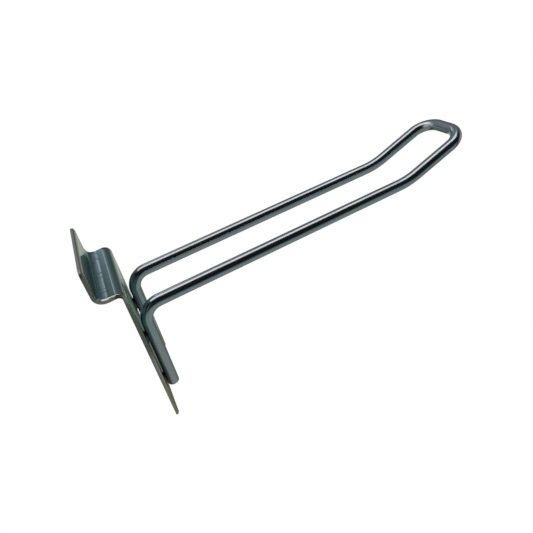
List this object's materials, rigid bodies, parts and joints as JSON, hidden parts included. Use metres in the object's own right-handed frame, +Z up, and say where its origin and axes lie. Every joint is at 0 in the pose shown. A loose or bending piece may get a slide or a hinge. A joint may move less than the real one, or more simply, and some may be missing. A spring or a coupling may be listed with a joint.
{
  "type": "display hook",
  "caption": "Loop hook for a grooved display panel: a folded steel plate hangs over the lip of the groove, and a welded wire loop reaches forward to an upturned tip.",
  "frame": {"origin": "the corner that seats on the panel: where the plane of the plate's back face meets the underside of the shelf, on the plate's centre line", "axes": "+Z up, +Y back into the panel's groove, -Y forward along the prongs, X across the plate's width"},
  "size_m": [0.0368, 0.1715, 0.0839],
  "materials": {
    "plate_zinc": "satin",
    "wire_zinc": "polished"
  },
  "bodies": {
    "root": {"back_plate": "plate_zinc", "wire_loop": "wire_zinc"}
  },
  "joints": []
}
